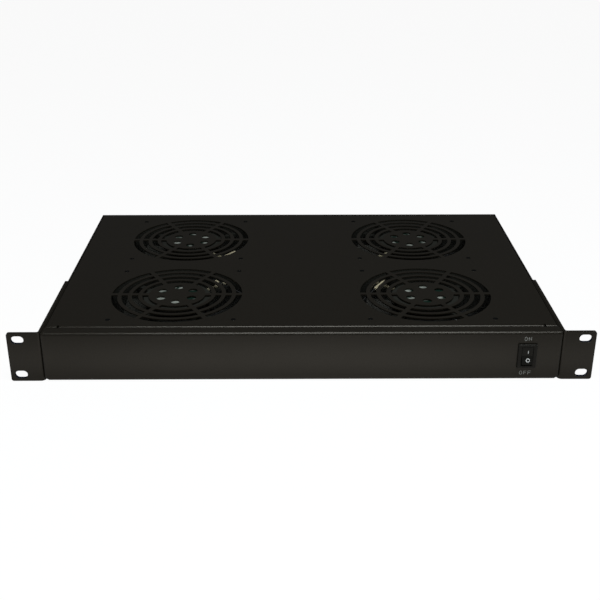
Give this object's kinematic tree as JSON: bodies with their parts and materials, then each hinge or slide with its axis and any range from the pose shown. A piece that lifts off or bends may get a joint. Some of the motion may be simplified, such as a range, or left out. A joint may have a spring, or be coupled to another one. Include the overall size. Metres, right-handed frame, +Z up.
{
  "type": "rack fan tray",
  "caption": "Shallow rack-mount fan tray in black steel: slotted ears, a vented cover with ring grilles over its fans, a rocker switch in the front and a mains inlet at the rear.",
  "frame": {"origin": "centre of the four rack slots, on the ears' front face", "axes": "+X to the right as seen from the front, +Y to the rear, +Z up"},
  "size_m": [0.4826, 0.2972, 0.0444],
  "materials": {
    "black_powder_coat": "satin, finely textured",
    "switch_black": "satin",
    "tinned_brass": "bright",
    "cream_plastic": "matte",
    "black_sleeve": "matte",
    "cream_sleeve": "matte",
    "cast_frame": "matte",
    "fan_black": "satin",
    "steel_shaft": "ground",
    "motor_steel": "satin"
  },
  "bodies": {
    "tray": {"chassis_tray": "black_powder_coat", "top_cover": "black_powder_coat", "rack_ear_left": "black_powder_coat", "rack_ear_right": "black_powder_coat", "switch_body": "switch_black", "switch_terminals": "tinned_brass", "inlet_housing": "switch_black", "inlet_pins": "tinned_brass", "terminal_block": "cream_plastic", "switch_loom": "black_sleeve", "mains_lead": "black_sleeve", "fan_frame_front_left": "cast_frame", "fan_motor_front_left": "motor_steel", "fan_lead_front_left": "cream_sleeve", "fan_frame_front_right": "cast_frame", "fan_motor_front_right": "motor_steel", "fan_lead_front_right": "cream_sleeve", "fan_frame_rear_left": "cast_frame", "fan_motor_rear_left": "motor_steel", "fan_lead_rear_left": "cream_sleeve", "fan_frame_rear_right": "cast_frame", "fan_motor_rear_right": "motor_steel", "fan_lead_rear_right": "cream_sleeve"},
    "rotor_front_left": {"impeller_front_left": "fan_black", "fan_shaft_front_left": "steel_shaft"},
    "rotor_front_right": {"impeller_front_right": "fan_black", "fan_shaft_front_right": "steel_shaft"},
    "rotor_rear_left": {"impeller_rear_left": "fan_black", "fan_shaft_rear_left": "steel_shaft"},
    "rotor_rear_right": {"impeller_rear_right": "fan_black", "fan_shaft_rear_right": "steel_shaft"},
    "rocker": {"switch_rocker": "switch_black"}
  },
  "joints": [
    {"name": "spin_front_left", "type": "hinge", "parent": "tray", "child": "rotor_front_left", "pos_m": [-0.11, 0.077, 0], "axis": [0, 0, 1], "continuous": true},
    {"name": "spin_front_right", "type": "hinge", "parent": "tray", "child": "rotor_front_right", "pos_m": [0.11, 0.077, 0], "axis": [0, 0, 1], "continuous": true},
    {"name": "spin_rear_left", "type": "hinge", "parent": "tray", "child": "rotor_rear_left", "pos_m": [-0.11, 0.2135, 0], "axis": [0, 0, 1], "continuous": true},
    {"name": "spin_rear_right", "type": "hinge", "parent": "tray", "child": "rotor_rear_right", "pos_m": [0.11, 0.2135, 0], "axis": [0, 0, 1], "continuous": true},
    {"name": "rocker_tilt", "type": "hinge", "parent": "tray", "child": "rocker", "pos_m": [0.1856, 0.0026, 0.0002], "axis": [1, 0, 0], "range_deg": [0, 18]}
  ]
}
